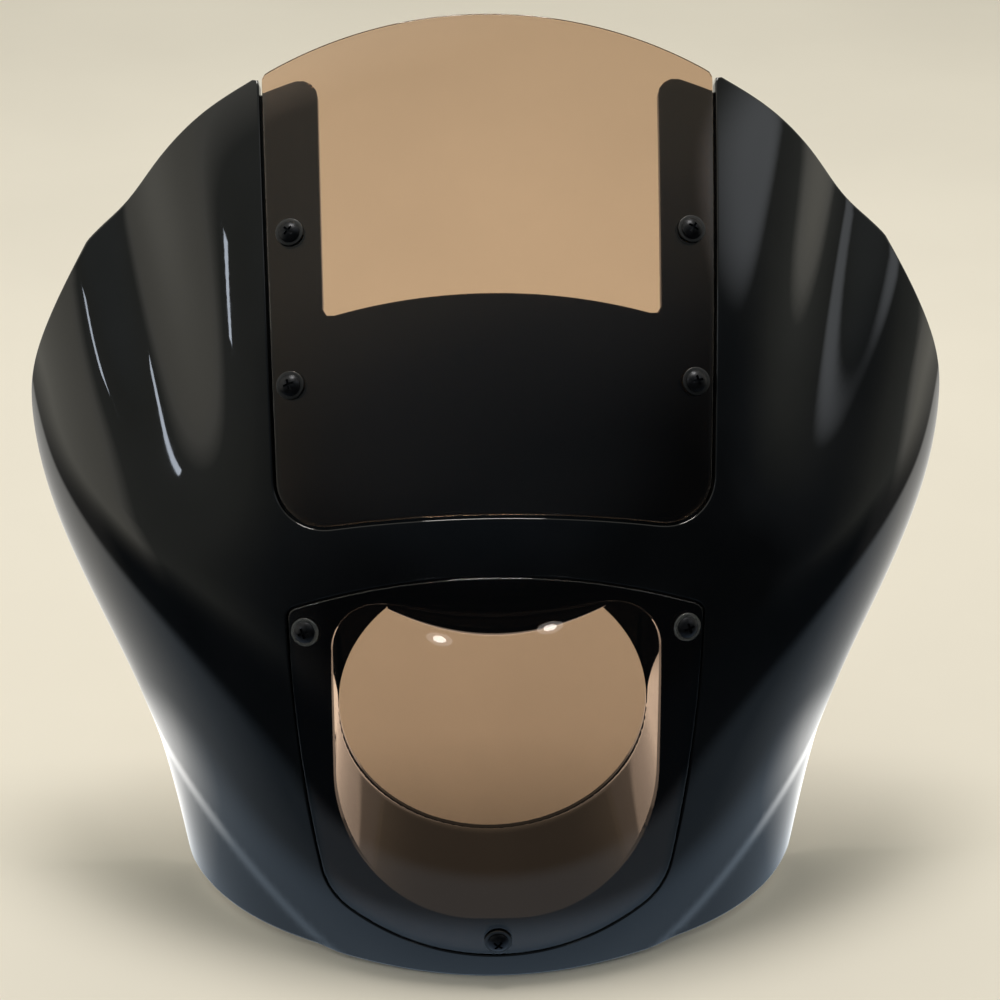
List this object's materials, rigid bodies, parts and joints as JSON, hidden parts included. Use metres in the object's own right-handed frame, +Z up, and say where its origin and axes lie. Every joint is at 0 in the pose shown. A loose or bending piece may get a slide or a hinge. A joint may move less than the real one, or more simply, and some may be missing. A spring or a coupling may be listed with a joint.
{
  "type": "motorcycle quarter fairing",
  "caption": "Open-backed moulded quarter fairing with flush smoked windshield and headlight lens on screwed seats, over a pocket with a round headlight hole.",
  "frame": {"origin": "centre of the round headlight hole, on the front face of the pocket's rear panel", "axes": "+X to the right as seen from the front, +Y along the headlight's axis to the rear, +Z up"},
  "size_m": [0.4942, 0.244, 0.4473],
  "materials": {
    "gloss_black_abs": "gloss",
    "smoked_windshield": "polished",
    "smoked_lens": "polished",
    "black_oxide_steel": "satin",
    "black_nylon": "satin",
    "clear_vinyl": "gloss",
    "black_rubber": "matte",
    "brass": "turned"
  },
  "bodies": {
    "root": {"fairing_shell": "gloss_black_abs", "windshield": "smoked_windshield", "headlight_lens": "smoked_lens", "windshield_screws": "black_oxide_steel", "windshield_washers": "black_nylon", "windshield_well_nuts": "black_rubber", "windshield_nut_inserts": "brass", "lens_screws": "black_oxide_steel", "lens_clear_washers": "clear_vinyl", "lens_lower_washer": "black_nylon", "lens_well_nuts": "black_rubber", "lens_nut_inserts": "brass"}
  },
  "joints": []
}
